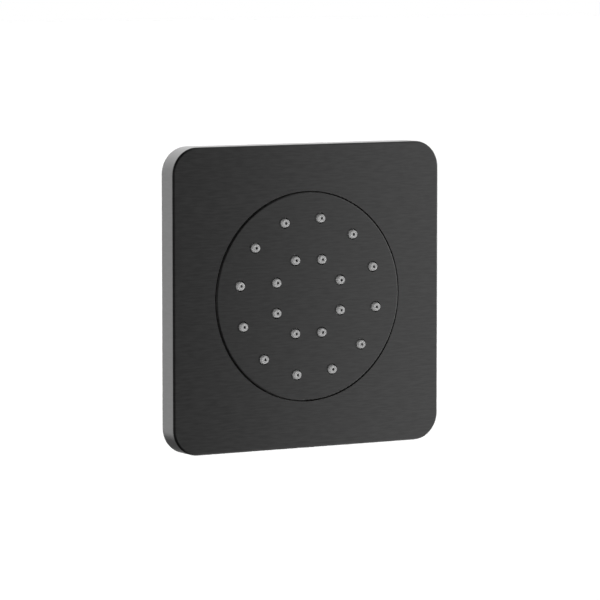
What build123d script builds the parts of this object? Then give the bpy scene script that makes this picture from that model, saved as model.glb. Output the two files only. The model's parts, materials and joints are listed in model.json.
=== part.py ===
from build123d import *
import os
from math import asin, cos, degrees, radians, sin, sqrt, tan

# A flush body spray for a shower wall: a round spray head on a ball joint in a square plate.
# Millimetres. Seen from the front, X is to the right and Z is up. The wall is the plane y = 0,
# the spray leaves along -Y, and the origin is the middle of the plate's back.

# Square plate
plate_w = 124.0
plate_depth = 9.7
plate_corner = 11.0
plate_front_t = 2.0
plate_side_t = 1.8
plate_edge = 0.85
hole_lip = 0.35
hole_edge = 0.15

# Spray face and its nozzles
face_r = 42.65
face_gap = 0.3
face_proud = 0.3
face_t = 1.5
face_edge = 0.7
skirt_t = 1.0
ring_inset = 10.4
outer_count = 12
outer_first_angle = 20.0
inner_count = 8
inner_first_angle = 22.5
nozzle_tip_r = 1.57
nozzle_root_r = 2.05
nozzle_proud = 1.2
nozzle_round = 0.25
nozzle_fit = 0.2
orifice_r = 0.6
orifice_len = 1.0
feed_r = 1.0

# Stack behind the face
mat_t = 1.5
jet_t = 2.0
flange_t = 2.0
chamber_depth = 3.0
housing_t = 2.0
hub_len = 8.0
hub_wall = 2.5
rib_count = 12
rib_t = 1.5
rib_h = 2.2
head_ring_w = 1.6
head_ring_depth = 1.1
head_screw_count = 6
head_screw_r = 1.25
head_screw_head_r = 2.2
head_screw_head_h = 1.6
head_screw_bite = 1.9
head_screw_cross_len = 2.9
head_screw_cross_w = 0.7
head_screw_cross_depth = 0.8

# Ball joint
ball_r = 13.0
ball_behind_face = 16.3
ball_front_rim = 3.25
ball_rear_rim = 1.25
waterway_r = 5.0
waterway_flare = 2.0
spigot_seat = 1.7
slip_t = 1.95
slip_from_angle = 102.0
slip_spare_angle = 2.0
seal_len = 3.25
seal_t = 2.3
nut_wall = 2.9
nut_front_gap = 2.5
nut_lip = 0.8
nut_bevel = 2.0
nut_grips = 12
nut_grip_r = 1.6
tilt_each = 10.0

# Inlet
neck_r = 7.0
bore_r = 4.5
thread_r = 10.48
thread_free = 12.8
thread_run = 1.0
thread_chamfer = 0.8
relief_w = 1.2
relief_depth = 1.2
lock_nut_af = 27.0
lock_nut_t = 4.6
back_nut_af = 30.0
back_nut_t = 6.0
washer_r = 17.5
washer_t = 1.5
mouth_r = 8.0
mouth_depth = 8.0
regulator_t = 3.5
regulator_groove_w = 1.5
regulator_groove_depth = 1.3
regulator_holes = 6
regulator_hole_r = 0.8
regulator_holes_inset = 1.2
filter_len = 3.0
filter_t = 0.8
filter_rim = 0.8
filter_slots = 10
filter_slot_len = 4.4
filter_slot_w = 0.9

# Mounting bracket, recess cup, gasket and the screw that holds the plate
sheet_t = 1.2
gasket_t = 1.5
cup_bend = 2.0
cup_rim = 2.5
cup_floor_r = 28.0
cup_straight = 3.0
wall_hole_inset = 16.0
wall_hole_r = 2.25
top_tab_x = 30.0
top_tab_w = 12.0
foot_tab_w = 10.0
grub_r = 2.0
grub_len = 7.0
grub_recess = 0.8
grub_socket_af = 2.0
grub_socket_depth = 2.0
grub_chamfer = 0.3
boss_w = 9.0
boss_h = 4.0

# Fits and clearances
slide_fit = 0.1
thread_fit = 0.05
screw_clear = 0.15
ring_clear = 0.02
seat_clear = 0.3
sheet_clear = 0.5
swing_clear = 1.0

# Stations along Y, from the face to the back of the head
plate_front = -plate_depth
plate_back = plate_front + plate_front_t
face_front = plate_front - face_proud
face_back = face_front + face_t
mat_back = face_back + mat_t
jet_back = mat_back + jet_t
flange_back = jet_back + flange_t
chamber_back = jet_back + chamber_depth
housing_back = chamber_back + housing_t
hub_end = housing_back + hub_len
ball_y = face_front + ball_behind_face
nozzle_tip = face_front - nozzle_proud

# Radii of the head, outwards from the nozzles and inwards from the face's edge
outer_ring_r = face_r - ring_inset
inner_ring_r = outer_ring_r / 2
hole_r = face_r + face_gap
skirt_r = face_r - skirt_t
stack_r = skirt_r - seat_clear
chamber_r = outer_ring_r + feed_r + sheet_clear
mat_r = chamber_r + mat_t
land_r = mat_r + seat_clear
head_ring_r = chamber_r + head_ring_w
head_screws_r = (head_ring_r + head_ring_w / 2 + stack_r) / 2
nozzle_rings = (
    (outer_ring_r, outer_count, outer_first_angle),
    (inner_ring_r, inner_count, inner_first_angle),
)

# Ball joint: spheres about the ball's centre, and what has to clear them
slip_in = ball_r + slide_fit
slip_out = slip_in + slip_t
seat_sphere = slip_out + slide_fit
hub_in = ball_r + seal_t + slide_fit
hub_out = hub_in + hub_wall
nut_in = hub_out + slide_fit
nut_out = nut_in + nut_wall
rib_from = nut_out + 2 * seat_clear
tilt = radians(tilt_each * sqrt(2))
ball_front = ball_y - sqrt(ball_r**2 - (waterway_r + waterway_flare + ball_front_rim) ** 2)
spigot_front = ball_front + waterway_flare + spigot_seat
ball_rear = ball_y + sqrt(ball_r**2 - (neck_r + ball_rear_rim) ** 2)
neck_swing = neck_r / cos(tilt) + seat_clear
seat_to = 180 - degrees(tilt + asin(neck_swing * cos(tilt) / seat_sphere))
slip_to = seat_to - tilt_each - slip_spare_angle

# Plate, bracket, cup and wall
plate_in = plate_w / 2 - plate_side_t
flange_rear = -gasket_t
flange_front = flange_rear - sheet_t
bracket_half = plate_in - sheet_clear
wall_hole_pitch = plate_w - 2 * wall_hole_inset
bracket_corner = plate_corner - plate_side_t - sheet_clear
cup_r = sqrt(face_r**2 + ball_behind_face**2) + swing_clear + sheet_clear
grub_y = (plate_back + flange_front) / 2
grub_foot = -plate_w / 2 + grub_recess
grub_tip = grub_foot + grub_len


def at(y):
    """Sketch plane at this y, facing the front: its x is the part's X and its y is the part's Z."""
    return Plane.XZ.offset(-y)


def on_sphere(radius, polar):
    """Point (r, y) on a sphere about the ball, at this angle in degrees from the front axis."""
    return radius * sin(radians(polar)), ball_y - radius * cos(radians(polar))


def sphere_r(radius, y):
    """Radius of the circle that the plane at this y cuts from a sphere about the ball."""
    return sqrt(radius**2 - (y - ball_y) ** 2)


def hex_nut(front, thickness, across_flats):
    """Nut on the inlet thread, its hexagon chamfered at both ends."""
    corner = across_flats / sqrt(3)
    flat = across_flats / 2
    fall = (corner - flat) * tan(radians(30))
    back = front + thickness
    with BuildPart() as nut:
        with BuildSketch(at(back)):
            RegularPolygon(flat, 6, major_radius=False)
            Circle(thread_r + thread_fit, mode=Mode.SUBTRACT)
        extrude(amount=thickness)
        with BuildSketch():
            with BuildLine():
                Polyline(
                    (0, front),
                    (flat, front),
                    (corner, front + fall),
                    (corner, back - fall),
                    (flat, back),
                    (0, back),
                    close=True,
                )
            make_face()
        revolve(axis=Axis.Y, mode=Mode.INTERSECT)
    return nut.part


def nozzle_circles(radius):
    """Circles of this radius at every nozzle, in the sketch that is open."""
    for ring_r, count, first in nozzle_rings:
        with PolarLocations(ring_r, count, first):
            Circle(radius)


# Stations behind the ball, each set by what swings or clamps in front of it
nut_seat_r, nut_seat_y = on_sphere(seat_sphere, seat_to)
nut_back = nut_seat_y + nut_lip
nut_swing = (nut_back - ball_y) * cos(tilt) + (nut_out - nut_bevel) * sin(tilt)
lock_front = ball_y + nut_swing + swing_clear
floor_in = lock_front + lock_nut_t
floor_out = floor_in + sheet_t
washer_back = floor_out + washer_t
back_nut_back = washer_back + back_nut_t
relief_front = back_nut_back + thread_run
inlet_end = relief_front + relief_w + thread_free
mouth_floor = inlet_end - mouth_depth
regulator_back = mouth_floor + regulator_t
filter_back = regulator_back + filter_len

os.makedirs("parts", exist_ok=True)

# Square plate: a drawn shell with a beveled round hole and a boss for the grub screw
with BuildPart() as escutcheon:
    with BuildSketch(at(0)):
        RectangleRounded(plate_w, plate_w, plate_corner)
    extrude(amount=plate_depth)
    fillet(escutcheon.faces().sort_by(Axis.Y)[0].edges(), plate_edge)
    with BuildSketch(at(0)):
        RectangleRounded(2 * plate_in, 2 * plate_in, plate_corner - plate_side_t)
    extrude(amount=plate_depth - plate_front_t, mode=Mode.SUBTRACT)
    with BuildSketch():
        with BuildLine():
            bevel = plate_front_t - hole_lip
            Polyline(
                (0, plate_front),
                (hole_r + hole_edge, plate_front),
                (hole_r, plate_front + hole_edge),
                (hole_r, plate_front + hole_lip),
                (hole_r + bevel, plate_back),
                (0, plate_back),
                close=True,
            )
        make_face()
    revolve(axis=Axis.Y, mode=Mode.SUBTRACT)
    with BuildSketch(Plane.XY.offset(-plate_in)):
        with Locations((0, plate_back)):
            boss_len = flange_rear - seat_clear - plate_back
            Rectangle(boss_w, boss_len, align=(Align.CENTER, Align.MIN))
    extrude(amount=boss_h)
    with BuildSketch(Plane.XY.offset(-plate_w / 2)):
        with Locations((0, grub_y)):
            Circle(grub_r + thread_fit)
    extrude(amount=plate_side_t + boss_h, mode=Mode.SUBTRACT)
escutcheon.part.label = "escutcheon"
export_step(escutcheon.part, "parts/escutcheon.step")

# Mounting bracket: flat sheet with two tabs folded up for the plate and one for the grub screw
with BuildPart() as mounting_bracket:
    with BuildSketch(at(flange_rear)):
        RectangleRounded(2 * bracket_half, 2 * bracket_half, bracket_corner)
        Circle(cup_r, mode=Mode.SUBTRACT)
        with GridLocations(wall_hole_pitch, wall_hole_pitch, 2, 2):
            Circle(wall_hole_r, mode=Mode.SUBTRACT)
        with Locations((0, -bracket_half)):
            notch_h = 2 * (grub_tip + bracket_half)
            Rectangle(foot_tab_w + 2 * sheet_t, notch_h, mode=Mode.SUBTRACT)
    extrude(amount=sheet_t)
    with BuildSketch(at(flange_rear)):
        with Locations((0, grub_tip)):
            Rectangle(foot_tab_w, sheet_t, align=(Align.CENTER, Align.MIN))
        with Locations((-top_tab_x, plate_in), (top_tab_x, plate_in)):
            Rectangle(top_tab_w, sheet_t, align=(Align.CENTER, Align.MAX))
    extrude(amount=flange_rear - plate_back - sheet_clear)
mounting_bracket.part.label = "mounting_bracket"
export_step(mounting_bracket.part, "parts/mounting_bracket.step")

# Recess cup: drawn sheet, its rim held between the bracket and the wall, its floor round the inlet
with BuildPart() as recess_cup:
    with BuildSketch():
        with BuildLine():
            FilletPolyline(
                (cup_r + cup_rim, flange_rear),
                (cup_r, flange_rear),
                (cup_r, ball_y + cup_straight),
                (cup_floor_r, floor_in),
                (thread_r + screw_clear, floor_in),
                radius=cup_bend,
            )
            offset(amount=sheet_t, side=Side.RIGHT)
        make_face()
    revolve(axis=Axis.Y)
recess_cup.part.label = "recess_cup"
export_step(recess_cup.part, "parts/recess_cup.step")

# Foam gasket round the cup's rim, between the bracket and the wall
with BuildPart() as wall_gasket:
    with BuildSketch(at(0)):
        gasket_w = 2 * (bracket_half - sheet_clear)
        RectangleRounded(gasket_w, gasket_w, bracket_corner - sheet_clear)
        Circle(cup_r + cup_rim + sheet_clear, mode=Mode.SUBTRACT)
        with GridLocations(wall_hole_pitch, wall_hole_pitch, 2, 2):
            Circle(wall_hole_r, mode=Mode.SUBTRACT)
    extrude(amount=gasket_t)
wall_gasket.part.label = "wall_gasket"
export_step(wall_gasket.part, "parts/wall_gasket.step")

# Grub screw: up through the plate's lower wall, its tip against the bracket's lower tab
with BuildPart() as grub_screw:
    with BuildSketch(Plane.XY.offset(grub_foot)):
        with Locations((0, grub_y)):
            Circle(grub_r)
    extrude(amount=grub_len)
    chamfer(grub_screw.edges().filter_by(GeomType.CIRCLE), grub_chamfer)
    with BuildSketch(Plane.XY.offset(grub_foot)):
        with Locations((0, grub_y)):
            RegularPolygon(grub_socket_af / 2, 6, major_radius=False)
    extrude(amount=grub_socket_depth, mode=Mode.SUBTRACT)
grub_screw.part.label = "grub_screw"
export_step(grub_screw.part, "parts/grub_screw.step")

# Inlet nipple: turned from bar, with a neck into the ball and a pipe thread to the back
with BuildPart() as inlet_nipple:
    with BuildSketch():
        with BuildLine():
            relief_back = relief_front + relief_w
            Polyline(
                (bore_r, spigot_front),
                (neck_r, spigot_front),
                (neck_r, lock_front),
                (thread_r, lock_front),
                (thread_r, relief_front),
                (thread_r - relief_depth, relief_front),
                (thread_r - relief_depth, relief_back),
                (thread_r, relief_back),
                (thread_r, inlet_end - thread_chamfer),
                (thread_r - thread_chamfer, inlet_end),
                (mouth_r, inlet_end),
                (mouth_r, mouth_floor),
                (bore_r, mouth_floor),
                close=True,
            )
        make_face()
    revolve(axis=Axis.Y)
inlet_nipple.part.label = "inlet_nipple"
export_step(inlet_nipple.part, "parts/inlet_nipple.step")

# Ball: flats at both ends, a socket for the neck and a flared waterway
with BuildPart() as swivel_ball:
    with BuildSketch():
        with BuildLine():
            Polyline(
                (sphere_r(ball_r, ball_rear), ball_rear),
                (neck_r + thread_fit, ball_rear),
                (neck_r + thread_fit, spigot_front),
                (waterway_r, spigot_front),
                (waterway_r, ball_front + waterway_flare),
                (waterway_r + waterway_flare, ball_front),
                (sphere_r(ball_r, ball_front), ball_front),
            )
            ThreePointArc(
                (sphere_r(ball_r, ball_front), ball_front),
                (ball_r, ball_y),
                (sphere_r(ball_r, ball_rear), ball_rear),
            )
        make_face()
    revolve(axis=Axis.Y)
swivel_ball.part.label = "swivel_ball"
export_step(swivel_ball.part, "parts/swivel_ball.step")

# Lock nut inside the cup
with BuildPart() as front_lock_nut:
    add(hex_nut(lock_front, lock_nut_t, lock_nut_af))
front_lock_nut.part.label = "front_lock_nut"
export_step(front_lock_nut.part, "parts/front_lock_nut.step")

# Back nut, which draws the cup's floor between itself and the lock nut
with BuildPart() as back_nut:
    add(hex_nut(washer_back, back_nut_t, back_nut_af))
back_nut.part.label = "back_nut"
export_step(back_nut.part, "parts/back_nut.step")

# Fibre washer under the back nut
with BuildPart() as fibre_washer:
    with BuildSketch(at(washer_back)):
        Circle(washer_r)
        Circle(thread_r + screw_clear, mode=Mode.SUBTRACT)
    extrude(amount=washer_t)
fibre_washer.part.label = "fibre_washer"
export_step(fibre_washer.part, "parts/fibre_washer.step")

# Flow regulator: a moulded disc with metering holes and a groove for its ring
with BuildPart() as flow_regulator:
    with BuildSketch(at(regulator_back)):
        Circle(mouth_r - slide_fit)
        with PolarLocations(bore_r - regulator_holes_inset, regulator_holes):
            Circle(regulator_hole_r, mode=Mode.SUBTRACT)
    extrude(amount=regulator_t)
    with BuildSketch(at((mouth_floor + regulator_back + regulator_groove_w) / 2)):
        Circle(mouth_r)
        Circle(mouth_r - regulator_groove_depth, mode=Mode.SUBTRACT)
    extrude(amount=regulator_groove_w, mode=Mode.SUBTRACT)
flow_regulator.part.label = "flow_regulator"
export_step(flow_regulator.part, "parts/flow_regulator.step")

# Ring squeezed between the regulator's groove and the mouth
with BuildPart() as regulator_o_ring:
    with BuildSketch():
        with Locations((mouth_r - regulator_groove_depth / 2, (mouth_floor + regulator_back) / 2)):
            Ellipse(regulator_groove_depth / 2 - ring_clear, regulator_groove_w / 2 - ring_clear)
    revolve(axis=Axis.Y)
regulator_o_ring.part.label = "regulator_o_ring"
export_step(regulator_o_ring.part, "parts/regulator_o_ring.step")

# Inlet filter: a slotted cap against the regulator
with BuildPart() as inlet_filter:
    with BuildSketch(at(filter_back)):
        Circle(mouth_r - slide_fit)
    extrude(amount=filter_len)
    with BuildSketch(at(filter_back - filter_t)):
        Circle(mouth_r - slide_fit - filter_rim)
    extrude(amount=filter_len, mode=Mode.SUBTRACT)
    with BuildSketch(at(filter_back)):
        with PolarLocations(mouth_r / 2, filter_slots):
            SlotOverall(filter_slot_len, filter_slot_w)
    extrude(amount=filter_t, mode=Mode.SUBTRACT)
inlet_filter.part.label = "inlet_filter"
export_step(inlet_filter.part, "parts/inlet_filter.step")

# Slip ring: a zone of a sphere between the back of the ball and the nut
with BuildPart() as slip_ring:
    with BuildSketch():
        with BuildLine():
            slip_mid = (slip_from_angle + slip_to) / 2
            ThreePointArc(*(on_sphere(slip_out, a) for a in (slip_from_angle, slip_mid, slip_to)))
            Line(on_sphere(slip_out, slip_to), on_sphere(slip_in, slip_to))
            ThreePointArc(*(on_sphere(slip_in, a) for a in (slip_to, slip_mid, slip_from_angle)))
            Line(on_sphere(slip_in, slip_from_angle), on_sphere(slip_out, slip_from_angle))
        make_face()
    revolve(axis=Axis.Y)
slip_ring.part.label = "slip_ring"
export_step(slip_ring.part, "parts/slip_ring.step")

# Ball seal: a rubber ring in the hub, its inside a zone of a sphere on the front of the ball
with BuildPart() as ball_seal:
    with BuildSketch():
        with BuildLine():
            seal_front = housing_back + thread_fit
            seal_back = seal_front + seal_len
            seal_mid = (seal_front + seal_back) / 2
            Polyline(
                (sphere_r(slip_in, seal_front), seal_front),
                (hub_in - slide_fit, seal_front),
                (hub_in - slide_fit, seal_back),
                (sphere_r(slip_in, seal_back), seal_back),
            )
            ThreePointArc(*((sphere_r(slip_in, y), y) for y in (seal_back, seal_mid, seal_front)))
        make_face()
    revolve(axis=Axis.Y)
ball_seal.part.label = "ball_seal"
export_step(ball_seal.part, "parts/ball_seal.step")

# Swivel nut: screws on the hub, with a spherical seat and hand grips
with BuildPart() as swivel_nut:
    with BuildSketch():
        with BuildLine():
            nut_front = housing_back + nut_front_gap
            seat_r = sphere_r(seat_sphere, hub_end)
            seat_mid_y = (hub_end + nut_seat_y) / 2
            Polyline(
                (seat_r, hub_end),
                (nut_in, hub_end),
                (nut_in, nut_front),
                (nut_out, nut_front),
                (nut_out, nut_back - nut_bevel),
                (nut_out - nut_bevel, nut_back),
                (nut_seat_r + nut_lip / 2, nut_back),
                (nut_seat_r, nut_seat_y),
            )
            ThreePointArc(
                (nut_seat_r, nut_seat_y),
                (sphere_r(seat_sphere, seat_mid_y), seat_mid_y),
                (seat_r, hub_end),
            )
        make_face()
    revolve(axis=Axis.Y)
    with BuildSketch(at(nut_back)):
        with PolarLocations(nut_out + nut_grip_r / 2, nut_grips):
            Circle(nut_grip_r)
    extrude(amount=nut_back - nut_front, mode=Mode.SUBTRACT)
swivel_nut.part.label = "swivel_nut"
export_step(swivel_nut.part, "parts/swivel_nut.step")

# Head housing: moulded back of the water chamber, with a hub for the nut and stiffening ribs
with BuildPart() as head_housing:
    with BuildSketch():
        with BuildLine():
            wall_out = chamber_r + housing_t
            slope = chamber_depth / 2
            opening_r = sphere_r(ball_r, housing_back) + 2 * seat_clear
            Polyline(
                (chamber_r, jet_back),
                (stack_r, jet_back),
                (stack_r, flange_back),
                (wall_out, flange_back),
                (wall_out - 2 * slope, housing_back),
                (hub_out, housing_back),
                (hub_out, hub_end),
                (hub_in, hub_end),
                (hub_in, housing_back),
                (opening_r, housing_back),
                (opening_r, chamber_back),
                (chamber_r - slope, chamber_back),
                (chamber_r, chamber_back - slope),
                close=True,
            )
        make_face()
    revolve(axis=Axis.Y)
    for i in range(rib_count):
        with BuildSketch(Plane.XY.rotated((0, 360 * (i + 0.5) / rib_count, 0))):
            with BuildLine():
                Polyline(
                    (rib_from, chamber_back + housing_t / 2),
                    (rib_from, housing_back + rib_h),
                    (rib_from + rib_h, housing_back + rib_h),
                    (stack_r - rib_t, flange_back),
                    (wall_out - housing_t, flange_back - flange_t / 2),
                    close=True,
                )
            make_face()
        extrude(amount=rib_t / 2, both=True)
    with BuildSketch(at(jet_back + head_ring_depth)):
        Circle(head_ring_r + head_ring_w / 2)
        Circle(head_ring_r - head_ring_w / 2, mode=Mode.SUBTRACT)
    extrude(amount=head_ring_depth, mode=Mode.SUBTRACT)
    with BuildSketch(at(flange_back)):
        with PolarLocations(head_screws_r, head_screw_count):
            Circle(head_screw_r + screw_clear)
    extrude(amount=flange_t, mode=Mode.SUBTRACT)
head_housing.part.label = "head_housing"
export_step(head_housing.part, "parts/head_housing.step")

# Ring squeezed between the housing's groove and the jet plate
with BuildPart() as chamber_o_ring:
    with BuildSketch():
        with Locations((head_ring_r, jet_back + head_ring_depth / 2)):
            Ellipse(head_ring_w / 2 - ring_clear, head_ring_depth / 2 - ring_clear)
    revolve(axis=Axis.Y)
chamber_o_ring.part.label = "chamber_o_ring"
export_step(chamber_o_ring.part, "parts/chamber_o_ring.step")

# Jet plate: feeds each nozzle and clamps the mat against the face
with BuildPart() as jet_plate:
    with BuildSketch(at(jet_back)):
        Circle(stack_r)
        with PolarLocations(head_screws_r, head_screw_count):
            Circle(head_screw_r + screw_clear, mode=Mode.SUBTRACT)
    extrude(amount=jet_t)
    with BuildSketch(at(jet_back)):
        nozzle_circles(feed_r)
    extrude(amount=jet_t, mode=Mode.SUBTRACT)
jet_plate.part.label = "jet_plate"
export_step(jet_plate.part, "parts/jet_plate.step")

# Nozzle mat: one moulding, each nozzle hollow behind a fine orifice
with BuildPart() as nozzle_mat:
    with BuildSketch(at(mat_back)):
        Circle(mat_r)
    extrude(amount=mat_t)
    for ring_r, count, first in nozzle_rings:
        with Locations(at(face_back)):
            with PolarLocations(ring_r, count, first):
                Cone(
                    nozzle_root_r,
                    nozzle_tip_r,
                    face_back - nozzle_tip,
                    align=(Align.CENTER, Align.CENTER, Align.MIN),
                )
    fillet(nozzle_mat.faces().group_by(Axis.Y)[0].edges(), nozzle_round)
    with BuildSketch(at(mat_back)):
        nozzle_circles(feed_r)
    extrude(amount=mat_back - nozzle_tip - orifice_len, mode=Mode.SUBTRACT)
    with BuildSketch(at(mat_back)):
        nozzle_circles(orifice_r)
    extrude(amount=mat_back - nozzle_tip, mode=Mode.SUBTRACT)
nozzle_mat.part.label = "nozzle_mat"
export_step(nozzle_mat.part, "parts/nozzle_mat.step")

# Spray face: a turned cup with a hole for each nozzle and a land for the screws
with BuildPart() as face_plate:
    with BuildSketch():
        with BuildLine():
            Polyline(
                (0, face_front),
                (face_r, face_front),
                (face_r, flange_back - sheet_clear),
                (skirt_r, flange_back - sheet_clear),
                (skirt_r, mat_back),
                (land_r, mat_back),
                (land_r, face_back),
                (0, face_back),
                close=True,
            )
        make_face()
    revolve(axis=Axis.Y)
    fillet(face_plate.faces().sort_by(Axis.Y)[0].edges(), face_edge)
    with BuildSketch(at(face_back)):
        nozzle_circles(nozzle_root_r + nozzle_fit)
    extrude(amount=face_t, mode=Mode.SUBTRACT)
    with BuildSketch(at(mat_back)):
        with PolarLocations(head_screws_r, head_screw_count):
            Circle(head_screw_r + thread_fit)
    extrude(amount=head_screw_bite + slide_fit, mode=Mode.SUBTRACT)
face_plate.part.label = "face_plate"
export_step(face_plate.part, "parts/face_plate.step")

# Screws that clamp the head's stack from behind, with crossed drives
with BuildPart() as head_screws:
    with BuildSketch(at(flange_back + head_screw_head_h)):
        with PolarLocations(head_screws_r, head_screw_count):
            Circle(head_screw_head_r)
    extrude(amount=head_screw_head_h)
    with BuildSketch(at(flange_back)):
        with PolarLocations(head_screws_r, head_screw_count):
            Circle(head_screw_r)
    extrude(amount=flange_back - mat_back + head_screw_bite)
    with BuildSketch(at(flange_back + head_screw_head_h)):
        with PolarLocations(head_screws_r, head_screw_count):
            Rectangle(head_screw_cross_len, head_screw_cross_w)
            Rectangle(head_screw_cross_w, head_screw_cross_len)
    extrude(amount=head_screw_cross_depth, mode=Mode.SUBTRACT)
head_screws.part.label = "head_screws"
export_step(head_screws.part, "parts/head_screws.step")
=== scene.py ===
import json
from math import cos, pi, radians, sin

import bpy
import numpy as np
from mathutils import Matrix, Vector


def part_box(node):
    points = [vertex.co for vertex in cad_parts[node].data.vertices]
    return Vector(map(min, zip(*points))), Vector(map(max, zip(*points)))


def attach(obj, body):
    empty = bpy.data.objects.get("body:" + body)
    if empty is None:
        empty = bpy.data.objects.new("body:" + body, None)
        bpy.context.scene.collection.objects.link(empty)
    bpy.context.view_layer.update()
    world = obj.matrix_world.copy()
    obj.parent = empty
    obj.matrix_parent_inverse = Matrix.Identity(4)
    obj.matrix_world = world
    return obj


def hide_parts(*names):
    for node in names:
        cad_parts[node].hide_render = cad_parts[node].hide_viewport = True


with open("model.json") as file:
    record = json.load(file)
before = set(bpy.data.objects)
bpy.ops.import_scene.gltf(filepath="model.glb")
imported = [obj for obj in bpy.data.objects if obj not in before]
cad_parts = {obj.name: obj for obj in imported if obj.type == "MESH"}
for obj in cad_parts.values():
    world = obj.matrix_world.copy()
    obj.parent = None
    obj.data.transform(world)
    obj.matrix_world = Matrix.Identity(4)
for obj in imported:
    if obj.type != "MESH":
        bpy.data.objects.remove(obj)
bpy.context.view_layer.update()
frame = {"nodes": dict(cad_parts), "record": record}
nodes = frame["nodes"]


# Camera
# A long lens that stands to the left of the plate and a little above it. The photograph's frame
# is set by the plate's middle, at the depth where its rounded front edge meets its walls.
plate_rounding = 0.00085
azimuth = radians(-29.83)
elevation = radians(5.23)
distance = 1.5575
focal_px = 3826.0
photo_px = 600.0
plate_px = (306.71, 295.76)
aim = Vector((0.0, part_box("escutcheon")[0][1] + plate_rounding, 0.0))
outward = Vector((sin(azimuth) * cos(elevation), -cos(azimuth) * cos(elevation), sin(elevation)))
camera_data = bpy.data.cameras.new("camera")
camera = bpy.data.objects.new("camera", camera_data)
bpy.context.scene.collection.objects.link(camera)
camera.location = aim + distance * outward
camera.rotation_euler = (-outward).to_track_quat("-Z", "Y").to_euler()
camera_data.sensor_width = 36.0
camera_data.lens = camera_data.sensor_width * focal_px / photo_px
camera_data.shift_x = ((photo_px - 1) / 2 - plate_px[0]) / photo_px
camera_data.shift_y = (plate_px[1] - (photo_px - 1) / 2) / photo_px
camera_data.clip_end = 200.0
bpy.context.scene.camera = camera
bpy.context.scene.view_settings.view_transform = "Standard"


# Studio dome
# Bright cards behind the plate, from a little below its height upwards, and a dim room in front
# of it. The room glows on the far right, above and below on that side, and faintly on the left
# and straight ahead. The camera itself sees a plain pale backdrop all round.
class Socket:
    """One output of a node tree. Arithmetic on it adds Math nodes, with numbers on either side."""

    def __init__(self, tree, output=None):
        self.tree = tree
        self.output = output

    def node(self, kind, settings=None, inputs=None, out=0):
        """Adds a node: its settings first, then its sockets from values or from other Sockets."""
        made = self.tree.nodes.new(kind)
        for name, value in (settings or {}).items():
            setattr(made, name, value)
        for key, value in (inputs or {}).items():
            if isinstance(value, Socket):
                self.tree.links.new(value.output, made.inputs[key])
            else:
                made.inputs[key].default_value = value
        return Socket(self.tree, made.outputs[out] if made.outputs else None)

    def math(self, operation, *operands):
        return self.node("ShaderNodeMath", {"operation": operation}, dict(enumerate(operands)))

    def __add__(self, other):
        return self.math("ADD", self, other)

    def __sub__(self, other):
        return self.math("SUBTRACT", self, other)

    def __rsub__(self, other):
        return self.math("SUBTRACT", other, self)

    def __mul__(self, other):
        return self.math("MULTIPLY", self, other)

    def __abs__(self):
        return self.math("ABSOLUTE", self)

    __radd__ = __add__
    __rmul__ = __mul__

    def root(self):
        return self.math("SQRT", self)

    def ramp(self, low, high, to_low=0.0, to_high=1.0):
        """Smooth step of this value from low to high, carried to the range to_low to to_high."""
        return self.node(
            "ShaderNodeMapRange",
            {"interpolation_type": "SMOOTHSTEP"},
            {"Value": self, "From Min": low, "From Max": high, "To Min": to_low, "To Max": to_high},
        )

    def mix(self, first, second):
        """Colour between two, by this value: each a Socket, three numbers, or one for a grey."""
        ends = [
            end if isinstance(end, Socket) else (*np.full(3, end), 1.0)
            for end in (first, second)
        ]
        return self.node(
            "ShaderNodeMix",
            {"data_type": "RGBA"},
            {"Factor": self, "A": ends[0], "B": ends[1]},
            out=2,
        )

    def axes(self):
        """The three values of a vector, each as a Socket."""
        split = ("ShaderNodeSeparateXYZ", {}, {"Vector": self})
        return [self.node(*split, out=axis) for axis in "XYZ"]


world = bpy.data.worlds.new("studio")
bpy.context.scene.world = world
world.use_nodes = True
world.node_tree.nodes.clear()
dome = Socket(world.node_tree)
right, back, up = dome.node("ShaderNodeTexCoord", out="Generated").axes()
seen = dome.node("ShaderNodeLightPath", out="Is Camera Ray")
behind = back.ramp(0.35, 0.9)
off_level = abs(up).ramp(0.2, 0.6)
cards = up.ramp(-0.36, -0.27, 0.36, 2.35) + up.ramp(0.05, 0.5, 0.0, 0.85)
cards = cards * right.ramp(-0.2, 0.5, 1.0, 0.73)
dimmest = 0.02
far_right = right.ramp(0.88, 0.985, 0.0, 3.0)
right_above_below = off_level * right.ramp(0.1, 0.5, 0.0, 0.55)
right_underneath = right.ramp(-0.1, 0.4) * up.ramp(-0.95, -0.7, 0.5, 0.0)
far_left = (1 - off_level) * right.ramp(-0.6, -0.2, 0.17, 0.0)
straight_ahead = back.ramp(-0.995, -0.92, 0.3, 0.0)
room = dimmest + far_right + right_above_below + right_underneath + far_left + straight_ahead
glow = seen + (1 - seen) * (behind * cards + (1 - behind) * room)
white_glow = {"Color": (1.0, 1.0, 1.0, 1.0), "Strength": glow}
background = dome.node("ShaderNodeBackground", {}, white_glow)
dome.node("ShaderNodeOutputWorld", {}, {"Surface": background})


# Lamps
# A tall soft box close on the right, so that the plate is lighter towards that side.
# The fill on the left and the lamp high behind are polarised: they light the matt pieces and
# the floor, and the metal doesn't mirror them.
box_width = 0.35
box_height = 0.8
for name, kind, place, power, mirrored in (
    ("right_box", "AREA", (0.34, -0.30, -0.06), 1.01, True),
    ("left_fill", "AREA", (-1.0, -0.35, 0.25), 4.2, False),
    ("floor_lamp", "SUN", (0.0, 1.0, 1.7), 2.2, False),
):
    lamp_data = bpy.data.lights.new(name, kind)
    lamp_data.energy = power
    if kind == "AREA":
        lamp_data.shape = "RECTANGLE"
        lamp_data.size = box_width
        lamp_data.size_y = box_height
    lamp = bpy.data.objects.new(name, lamp_data)
    bpy.context.scene.collection.objects.link(lamp)
    lamp.location = place
    lamp.rotation_euler = (aim - lamp.location).to_track_quat("-Z", "Y").to_euler()
    lamp.visible_glossy = mirrored
    lamp.visible_camera = False


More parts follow.
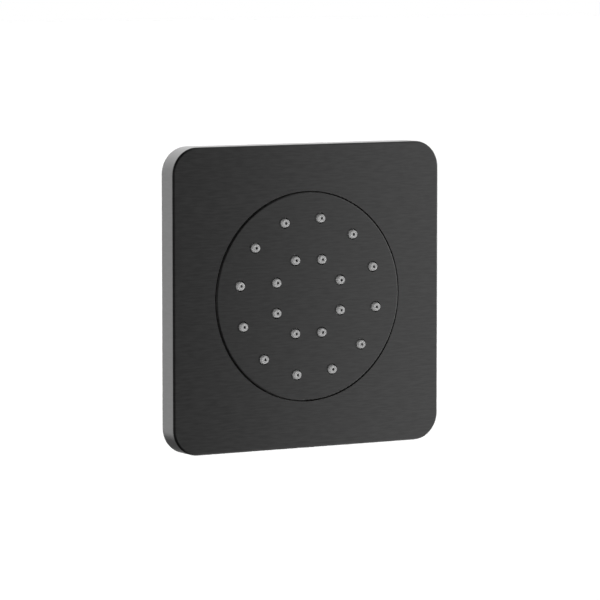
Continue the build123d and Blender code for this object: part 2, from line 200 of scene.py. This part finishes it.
# Floor
# A plain pale surface as far below the plate as a shower's floor is, wide enough to fill the
# frame behind it. The metal doesn't mirror it: the dome stands for it there.
def new_material(name):
    """Empty material: its tree, and the Object coordinates that every pattern reads."""
    material = bpy.data.materials.new(name)
    material.use_nodes = True
    material.node_tree.nodes.clear()
    tree = Socket(material.node_tree)
    return material, tree, tree.node("ShaderNodeTexCoord", out="Object")


def finish(tree, **sockets):
    """Closes a material with one Principled shader."""
    inputs = {name.replace("_", " "): value for name, value in sockets.items()}
    shader = tree.node("ShaderNodeBsdfPrincipled", {}, inputs)
    tree.node("ShaderNodeOutputMaterial", {}, {"Surface": shader})


floor_drop = 1.2
floor_half = 60.0
floor_mesh = bpy.data.meshes.new("floor")
corners = floor_half * np.array([(-1, -1), (1, -1), (1, 1), (-1, 1)])
floor_mesh.from_pydata([(x, y, -floor_drop) for x, y in corners], [], [(0, 1, 2, 3)])
floor = bpy.data.objects.new("floor", floor_mesh)
bpy.context.scene.collection.objects.link(floor)
floor.visible_glossy = False
material, tree, coords = new_material("pale_floor")
finish(tree, Base_Color=(0.92, 0.92, 0.92, 1.0), Roughness=0.9)
floor_mesh.materials.append(material)


# Wall gasket
# Black closed-cell foam, cut from sheet and stuck round the cup's rim.
# It is matt, with small open pits.
def noise(coords, per_metre, detail=3.0, roughness=0.55):
    """Noise from 0 to 1 around 0.5, with this many grains a metre, or as many along X, Y and Z."""
    scaled = {"Vector": coords, "Scale": np.full(3, per_metre)}
    spread = coords.node("ShaderNodeMapping", {"vector_type": "POINT"}, scaled)
    inputs = {"Vector": spread, "Scale": 1.0, "Detail": detail, "Roughness": roughness}
    return coords.node("ShaderNodeTexNoise", {}, inputs)


def bump(height, depth_m, strength=1.0):
    """Normal of a relief this deep in metres, where height goes from 0 to 1."""
    inputs = {"Height": height, "Distance": depth_m, "Strength": strength}
    return height.node("ShaderNodeBump", {}, inputs)


def smooth(mesh, material, sharp_degrees=32):
    """Gives a mesh one material, and smooth shading across all but its sharp edges."""
    mesh.materials.clear()
    mesh.materials.append(material)
    mesh.shade_smooth()
    mesh.set_sharp_from_angle(angle=radians(sharp_degrees))


material, tree, coords = new_material("foam")
pits = noise(coords, 1400.0, detail=4.0, roughness=0.7)
finish(
    tree,
    Base_Color=pits.ramp(0.3, 0.7).mix((0.012, 0.012, 0.013), (0.045, 0.045, 0.047)),
    Roughness=0.95,
    Normal=bump(pits, 0.0004, 0.8),
)
smooth(nodes["wall_gasket"].data, material)


# Mounting bracket and recess cup
# Stainless sheet as it leaves the mill, with a faint rolled grain and cloudy reflections.
# The bracket is folded, the cup is drawn, and both are screwed to the wall.
material, tree, coords = new_material("stainless_sheet")
rolled = noise(coords, (60.0, 700.0, 1500.0))
cloud = noise(coords, 40.0, detail=2.0)
finish(
    tree,
    Base_Color=cloud.mix((0.50, 0.50, 0.49), (0.62, 0.62, 0.61)),
    Metallic=1.0,
    Roughness=(0.6 * rolled + 0.4 * cloud).ramp(0.2, 0.8, 0.27, 0.4),
    Normal=bump(rolled, 0.00001, 0.3),
)
smooth(nodes["mounting_bracket"].data, material)
smooth(nodes["recess_cup"].data, material)


# Brass nuts
# Turned from hexagon and round bar: fine tool marks square to the axis, slightly dulled.
# Two clamp the cup's floor, and the round one draws the head on to the ball.
brass, tree, coords = new_material("turned_brass")
marks = noise(coords, (120.0, 5200.0, 120.0), detail=2.0)
dull = noise(coords, 150.0)
finish(
    tree,
    Base_Color=dull.ramp(0.3, 0.7).mix((0.58, 0.40, 0.16), (0.74, 0.54, 0.25)),
    Metallic=1.0,
    Roughness=(0.5 * marks + 0.5 * dull).ramp(0.2, 0.8, 0.22, 0.38),
    Normal=bump(marks, 0.00001, 0.4),
)
for name in ("front_lock_nut", "back_nut", "swivel_nut"):
    smooth(nodes[name].data, brass)


# Inlet nipple
# Turned brass with a half-inch pipe thread, 14 turns to the inch, on both sides of a relief
# groove behind the back nut. Its neck is fixed in the ball and its mouth takes the regulator.
inlet = next(mount for mount in frame["record"]["mounts"] if mount["name"] == "inlet_thread")
thread_r = inlet["dims"]["r_mm"] / 1000
thread_half = inlet["dims"]["length_mm"] / 2000
thread_mid = inlet["pos_m"][1]
inch = 0.0254
pitch = inch / 14
thread_depth = 0.00116
groove_narrowing = 1.5
neck_r = 0.007
bore_r = 0.0045
mouth_r = 0.008
mouth_depth = 0.008
relief = 0.0012
nipple_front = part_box("inlet_nipple")[0][1]
nipple_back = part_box("inlet_nipple")[1][1]
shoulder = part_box("front_lock_nut")[0][1]
thread_start = thread_mid - thread_half
thread_end = thread_mid + thread_half
rim_r = thread_r - (nipple_back - thread_end)
mouth_floor = nipple_back - mouth_depth


def threaded(start, end, steps_a_turn=14, run_out=0.9):
    """Outline points along a thread.

    Its depth grows from nothing at each end, over run_out of a turn.
    """
    along = np.linspace(start, end, int((end - start) / pitch * steps_a_turn))
    share = np.clip(np.minimum(along - start, end - along) / (run_out * pitch), 0.0, 1.0)
    return list(zip(np.full_like(along, thread_r), along, thread_depth * share))


def turned_thread(name, outline, steps=96):
    """Closed outline of (radius, y, thread depth) points turned about Y in this many steps.

    The radius falls by the thread depth times a rounded wave, whose phase is y over the pitch
    less the part of a turn, so that its grooves form one helix. A power narrows the grooves.
    """
    radius, along, depth = (np.array(column)[:, None] for column in zip(*outline))
    turn = np.linspace(0.0, 1.0, steps, endpoint=False)[None, :]
    wave = 0.5 - 0.5 * np.cos(2 * pi * (along / pitch - turn))
    cut = radius - depth * wave**groove_narrowing
    x, y, z = np.broadcast_arrays(cut * np.cos(2 * pi * turn), along, cut * np.sin(2 * pi * turn))
    points = np.stack([x, y, z], axis=-1).reshape(-1, 3)
    corner = np.arange(x.size).reshape(x.shape)
    ahead = np.roll(corner, -1, axis=0)
    beside, across = (np.roll(side, -1, axis=1) for side in (corner, ahead))
    quads = np.stack([corner, ahead, across, beside], axis=-1)
    mesh = bpy.data.meshes.new(name)
    mesh.from_pydata(points.tolist(), [], quads.reshape(-1, 4).tolist())
    return mesh


nipple_outline = [
    (bore_r, nipple_front, 0.0),
    (neck_r, nipple_front, 0.0),
    (neck_r, shoulder, 0.0),
    *threaded(shoulder, thread_start - relief),
    (thread_r - relief, thread_start - relief, 0.0),
    (thread_r - relief, thread_start, 0.0),
    *threaded(thread_start, thread_end),
    (rim_r, nipple_back, 0.0),
    (mouth_r, nipple_back, 0.0),
    (mouth_r, mouth_floor, 0.0),
    (bore_r, mouth_floor, 0.0),
]
nipple_mesh = turned_thread("inlet_nipple_threaded", nipple_outline)
smooth(nipple_mesh, brass, sharp_degrees=45)
nipple = bpy.data.objects.new("inlet_nipple_threaded", nipple_mesh)
bpy.context.scene.collection.objects.link(nipple)
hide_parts("inlet_nipple")
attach(nipple, "wall_set")


# Fibre washer
# Punched from red pressed fibre: matt, with short fibres that show as flecks.
# It lies under the back nut, against the cup's floor.
material, tree, coords = new_material("red_fibre")
fleck = noise(coords, (900.0, 2500.0, 1500.0), detail=4.0, roughness=0.65)
finish(
    tree,
    Base_Color=fleck.ramp(0.3, 0.7).mix((0.22, 0.045, 0.03), (0.42, 0.12, 0.08)),
    Roughness=fleck.ramp(0.2, 0.8, 0.7, 0.9),
    Normal=bump(fleck, 0.00006, 0.5),
)
smooth(nodes["fibre_washer"].data, material)


# Swivel ball
# Brass, turned, polished and chrome-plated, with only a faint polishing haze.
# It is fixed on the nipple's neck, and the head tilts and turns on it.
material, tree, coords = new_material("chromed_ball")
haze = noise(coords, 300.0)
finish(
    tree,
    Base_Color=haze.mix((0.74, 0.75, 0.77), (0.82, 0.83, 0.85)),
    Metallic=1.0,
    Roughness=haze.ramp(0.2, 0.8, 0.06, 0.14),
)
smooth(nodes["swivel_ball"].data, material)


# Moulded plastics and rubber
# White acetal for the slip ring, the regulator and the filter, black glass-filled plastic for
# the head's housing and jet plate, and black rubber for the seals, each with its moulded skin.
acetal_pieces = ("slip_ring", "flow_regulator", "inlet_filter")
plastic_pieces = ("head_housing", "jet_plate")
rubber_pieces = ("ball_seal", "chamber_o_ring", "regulator_o_ring")
for name, dark, light, roughness, pieces in (
    ("white_acetal", 0.69, 0.79, (0.32, 0.45), acetal_pieces),
    ("black_plastic", 0.016, 0.032, (0.42, 0.60), plastic_pieces),
    ("black_rubber", 0.010, 0.022, (0.60, 0.80), rubber_pieces),
):
    material, tree, coords = new_material(name)
    skin = noise(coords, 2200.0, detail=2.0)
    finish(
        tree,
        Base_Color=skin.mix(dark, light),
        Roughness=skin.ramp(0.2, 0.8, *roughness),
        Normal=bump(skin, 0.00001, 0.35),
    )
    for piece in pieces:
        smooth(nodes[piece].data, material)


# Nozzle mat
# One moulding in light grey silicone, clamped behind the face so that its nozzles stand proud.
# It is matt and slightly cloudy, with a fine moulded skin.
material, tree, coords = new_material("grey_silicone")
cloud = noise(coords, 500.0, detail=2.0)
skin = noise(coords, 4000.0, detail=2.0)
finish(
    tree,
    Base_Color=cloud.mix((0.36, 0.36, 0.36), (0.43, 0.43, 0.428)),
    Subsurface_Weight=0.4,
    Subsurface_Scale=0.001,
    Subsurface_Radius=(1.0, 1.0, 1.0),
    Roughness=skin.ramp(0.2, 0.8, 0.5, 0.62),
    Normal=bump(skin, 0.000004, 0.3),
)
smooth(nodes["nozzle_mat"].data, material)


# Spray face and square plate
# Black-coated metal over a brushed ground. The brushing runs across the fronts and over the
# plate's left and right walls, and along the top and bottom walls, where it reads Y instead of Z.
# On the turned edges on both sides of the round gap the base colour is painted lighter: a painted
# highlight along the gap's rims.
material, tree, coords = new_material("brushed_black")
wall_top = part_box("escutcheon")[1][2]
gap_half = 0.00015
gap_middle_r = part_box("face_plate")[1][0] + gap_half
highlight_full_within = 0.0001
highlight_gone_beyond = 0.00035
across, _, height = coords.axes()
from_gap = abs((across * across + height * height).root() - gap_middle_r)
# Painted highlight: within a few tenths of a millimetre of the gap the base colour is lifted to a
# light grey, standing in for the rims' edge highlights.
painted_rim_highlight = from_gap.ramp(highlight_full_within, highlight_gone_beyond, 1.0, 0.0)
on_top = abs(height).ramp(wall_top - plate_rounding, wall_top - plate_rounding / 2)
streaks = noise(coords, (170.0, 300.0, 1500.0), detail=2.0)
hairs = noise(coords, (60.0, 200.0, 5200.0), detail=2.0)
top_hairs = noise(coords, (60.0, 3200.0, 200.0), detail=2.0)
grain = on_top * top_hairs + (1 - on_top) * (0.7 * streaks + 0.3 * hairs)
tone = grain.ramp(0.3, 0.7)
finish(
    tree,
    Base_Color=painted_rim_highlight.mix(tone.mix(0.0625, 0.0795), tone.mix(0.375, 0.477)),
    Metallic=1.0,
    Roughness=grain.ramp(0.2, 0.8, 0.34, 0.4),
    Normal=bump(grain, 0.000005, 0.25),
)
smooth(nodes["face_plate"].data, material)
smooth(nodes["escutcheon"].data, material)


# Screws
# Plain stainless cross-head screws hold the head's stack, and a blackened grub screw holds
# the plate from below. Both are cold-formed, with a slightly speckled finish.
for name, dark, light, piece in (
    ("plain_steel", 0.42, 0.58, "head_screws"),
    ("blackened_steel", 0.03, 0.07, "grub_screw"),
):
    material, tree, coords = new_material(name)
    speck = noise(coords, 1800.0)
    finish(
        tree,
        Base_Color=speck.mix(dark, light),
        Metallic=1.0,
        Roughness=speck.ramp(0.2, 0.8, 0.28, 0.42),
        Normal=bump(speck, 0.00001, 0.3),
    )
    smooth(nodes[piece].data, material)
